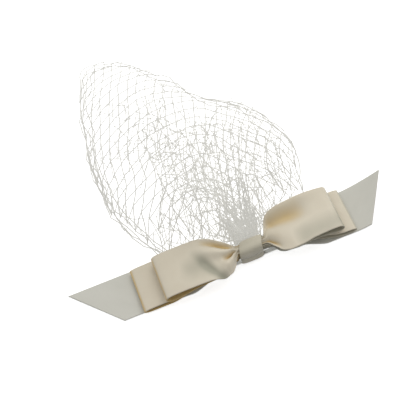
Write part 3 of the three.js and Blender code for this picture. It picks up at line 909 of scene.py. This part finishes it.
# %% Draw lines along a rim
def rim_lines(form, rows, seed, spacing, wander):
    """Lines of thread along the rim: a row gives the first and last place and the step on the ray."""
    nets = []
    for number, (start, end, step) in enumerate(rows):
        fine = np.linspace(start, end, 400)
        path = net_surface(form, fine, step)
        gone = np.concatenate([[0], np.cumsum(np.linalg.norm(np.diff(path, axis=0), axis=1))])
        places = np.interp(np.arange(0, gone[-1], spacing), gone, fine)
        knots = net_surface(form, places, step)
        knots = knots + wander * smooth_waves(knots + 40 * number, seed, 30)
        knots[:, 2] = np.maximum(knots[:, 2], lowest)
        nets.append((knots, np.array([(k, k + 1) for k in range(len(knots) - 1)])))
    return join_nets(*nets)


outer_rows = [(0, 1, 0.91), (0, 1, 0.95), (0, 0.55, 0.85), (0, 0.5, 0.88), (0, 0.4, 0.99)]
outer_rim = rim_lines(outer_form, outer_rows, 7, spacing=9.0, wander=1.9)
puff_rows = [(0.55, 0.82, 0.76), (0.55, 0.82, 0.775), (0.555, 0.8, 0.80)]
puff_rim = rim_lines(puff_form, puff_rows, 17, spacing=6.0, wander=0.9)
print("knots on the rims:", len(outer_rim[0]), len(puff_rim[0]))

# %% Wrap the outer veil
outer_last = smooth_curve((0, 0.3, 0.42, 0.6, 0.9, 1), (1, 0.97, 0.92, 0.90, 0.90, 0.94))
outer_points, kept = wrap_over(outer_form, np.array(list(outer_flat.values())), outer_last)
points, threads = join_nets(net_threads(list(outer_flat), outer_points, kept), outer_rim)
outer_net = (crumple(points, [(1.6, 60), (0.5, 18)], 3), threads)
outer_veil = finish_layer("net_outer_veil", "veil", outer_net, 11, radius=outer_radius)

# %% Wrap the right puff
leftmost_bearing = 96
puff_places = np.array(list(puff_flat.values()))
puff_last = smooth_curve((0.56, 0.70, 0.78, 1), (0.76, 0.80, 0.90, 0.94))
puff_points, kept = wrap_over(puff_form, puff_places, puff_last, first_step=0.5)
kept &= np.degrees(np.arctan2(puff_places[:, 1], puff_places[:, 0])) < leftmost_bearing
points, threads = join_nets(net_threads(list(puff_flat), puff_points, kept), puff_rim)
right_puff = finish_layer("net_right_puff", None, (crumple(points, [(1.2, 60)], 30), threads), 31)

# %% [markdown]
# ### Net, the inner folds
# Under the outer veil the rest of the net lies crumpled, in several layers. Each is a flat
# piece that is turned, pushed about by smooth waves, pulled in towards the neck, and held
# at some share of the height of the outer veil above it. Low on the left is a thin spot,
# where only the outer veil is seen.

# %% Look up at the outer veil
from mathutils.bvhtree import BVHTree


def surface_tree(form):
    """A tree of the form's faces, which rays can be cast at."""
    places, steps = np.linspace(0, 1, 121), np.linspace(0, 1, 81)
    grid = net_surface(form, places[:, None], steps[None, :])
    index = np.arange(grid.shape[0] * grid.shape[1]).reshape(grid.shape[:2])
    quads = np.stack([index[:-1, :-1], index[1:, :-1], index[1:, 1:], index[:-1, 1:]], axis=-1)
    return BVHTree.FromPolygons(grid.reshape(-1, 3).tolist(), quads.reshape(-1, 4).tolist())


outer_tree = surface_tree(outer_form)
beside_veil, near_neck = 12, 62


def veil_over(x, y):
    """Height of the outer veil over a place, or None beside it."""
    hit = outer_tree.ray_cast(Vector((x, y, 200)), Vector((0, 0, -1)))[0]
    return None if hit is None else hit.z


def roof_above(x, y):
    """Height of the outer veil over a place, or of the low net that lies beside it."""
    height = veil_over(x, y)
    return beside_veil if height is None else height


print("the outer veil is", round(roof_above(-20, 90), 1), "mm high over its middle")


# %% Find room for the inner folds
def has_room(x, y):
    """True behind the bow, under the veil or near the neck, and outside the thin spot."""
    behind_bow = y > np.interp(abs(x), (8, 14, 20, 28, 36), (7, 9, 13.5, 20.5, 24.5))
    in_thin_spot = math.hypot((x + 59) / 13, (y - 70) / 21) < 1
    if not behind_bow or in_thin_spot:
        return False
    return math.hypot(x, y) < near_neck or veil_over(x, y) is not None


print("room beside the neck:", has_room(30, 40), "and in the thin spot:", has_room(-59, 70))


# %% Lay out and settle a patch
patch_cells = np.array([(i, j) for i in range(-40, 41) for j in range(-40, 41)])
below_roof = 0.6


def flat_patch(turn, side, seed):
    """Knots of a flat square patch, turned and pushed about by smooth waves."""
    a = math.radians(turn)
    first, second = ([side * math.cos(a + b), side * math.sin(a + b)] for b in (0, 1.25))
    flat = np.pad(patch_cells @ np.array([first, second]), ((0, 0), (0, 1)))
    flat += 0.5 * side * smooth_waves(flat, seed, 55) + 0.2 * side * smooth_waves(flat, seed + 1, 18)
    return flat


def settle(points, seed):
    """Last small waves in height and plan, kept between the table and the outer veil."""
    free = smoothstep(points[:, 1], 15, 50)[:, None]
    points = points + np.array([2, 2, 4]) * smooth_waves(points, seed, 34) * (0.3 + 0.7 * free)
    roofs = np.array([roof_above(x, y) for x, y in points[:, :2]])
    points[:, 2] = np.clip(points[:, 2], lowest, np.maximum(roofs - below_roof, lowest))
    return points


# %% Crumple one patch
fold_reach = smooth_curve(
    (10, 25, 45, 60, 80, 92, 102, 112, 125, 140, 155, 172),
    (46, 52, 76, 86, 104, 142, 172, 174, 140, 106, 86, 76),
)
print("the folds reach", round(float(fold_reach(112))), "mm towards the veil's tip")


def crumpled_patch(turn, share, level, seed, side, pull, low=8, high=172, near=3, hem_from=None):
    """A patch of net between two bearings, pulled in to the neck and held under the outer veil."""
    flat = flat_patch(turn, side, seed)
    radius = np.linalg.norm(flat[:, :2], axis=1)
    bearing = np.degrees(np.arctan2(flat[:, 1], flat[:, 0]))
    reach = share * fold_reach(bearing) * (1 + 0.12 * smooth_waves(flat, seed + 3, 30)[:, 0])
    knots = {}
    for k in np.flatnonzero((bearing > low) & (bearing < high) & (radius < reach) & (radius > near)):
        x, y = flat[k, :2] * (radius[k] / reach[k]) ** (pull - 1) + np.array([0, neck_back])
        if has_room(x, y):
            fall = smoothstep(radius[k] / reach[k], hem_from, 1) if hem_from else 0
            knots[tuple(patch_cells[k])] = np.array([x, y, roof_above(x, y) * level * (1 - fall)])
    points = settle(np.array(list(knots.values())), seed + 2)
    return net_threads(list(knots), points, np.ones(len(knots), bool))


# %% [markdown]
# Each row is one patch: its turn in degrees, its share of the folds' reach and of the
# height above it, the seed of its waves, the side of its diamonds, and how strongly it is
# pulled in. Some rows also give the bearings between which the patch lies, its least
# distance from the neck, and where on its reach the hem starts to come down to the table.

# %% Crumple all patches
patch_rows = [
    (70, 1.00, 0.92, 50, 9.5, 1.15),
    (12, 0.95, 0.84, 60, 11.0, 1.15),
    (40, 0.78, 0.92, 70, 9.0, 1.10, 8, 172, 3, 0.8),
    (25, 0.60, 0.30, 90, 8.0, 1.00),
    (60, 0.48, 0.94, 100, 8.5, 1.00),
    (5, 0.40, 0.80, 110, 6.0, 1.00),
    (20, 1.25, 0.30, 130, 8.5, 1.00, 128, 170, 60),
    (33, 1.05, 0.40, 170, 8.0, 1.00, 18, 68, 28),
    (50, 0.85, 0.55, 180, 7.0, 1.15, 132, 172, 8),
]
patches = [crumpled_patch(*row) for row in patch_rows]
print("knots in the patches:", [len(points) for points, _ in patches])

# %% [markdown]
# At the neck the net is drawn together, and its threads run close side by side. So lines
# are fanned out from the neck at many heights, and short threads tie them to each other.

# %% Gather lines at the neck and finish the inner folds
line_knots = 10


def gathered_lines(count, seed):
    draw = np.random.default_rng(seed)
    points, threads = [], []
    for number in range(count):
        steps = np.linspace(0, draw.uniform(0.2, 0.46), line_knots)
        height, level = draw.uniform(8, 48), draw.uniform(6, neck_top)
        form = net_form(height, level, gather=8, ripple=0, trim=outer_trim)
        places = (number + 0.5) / count + 0.05 * np.sin(steps * draw.uniform(6, 20) + draw.uniform(0, 6))
        line = net_surface(form, np.clip(places, 0, 1), steps)
        line += 1.6 * smoothstep(steps, 0, 0.1)[:, None] * smooth_waves(line + 30 * number, seed, 22)
        line[:, 2] = np.maximum(line[:, 2], lowest)
        first = len(points)
        points += list(line)
        threads += [(first + k, first + k + 1) for k in range(line_knots - 1)]
        if number:
            before = first - line_knots
            threads += [(first + k, before + k + draw.integers(-1, 2)) for k in range(2, line_knots - 1)]
    return np.array(points), np.array(threads)


inner_net = join_nets(gathered_lines(80, 200), *patches)
inner_folds = finish_layer("net_inner_folds", "inner_folds", inner_net, 21, bow=0.6)

# %% [markdown]
# ## Pieces made
# The dressed veil has to keep the plain model's size. The pieces that were made are listed.

# %% List the pieces made
made = (lower_loops, upper_loops, tails, band, outer_veil, right_puff, inner_folds)
print("pieces made:", [piece.name for piece in made])
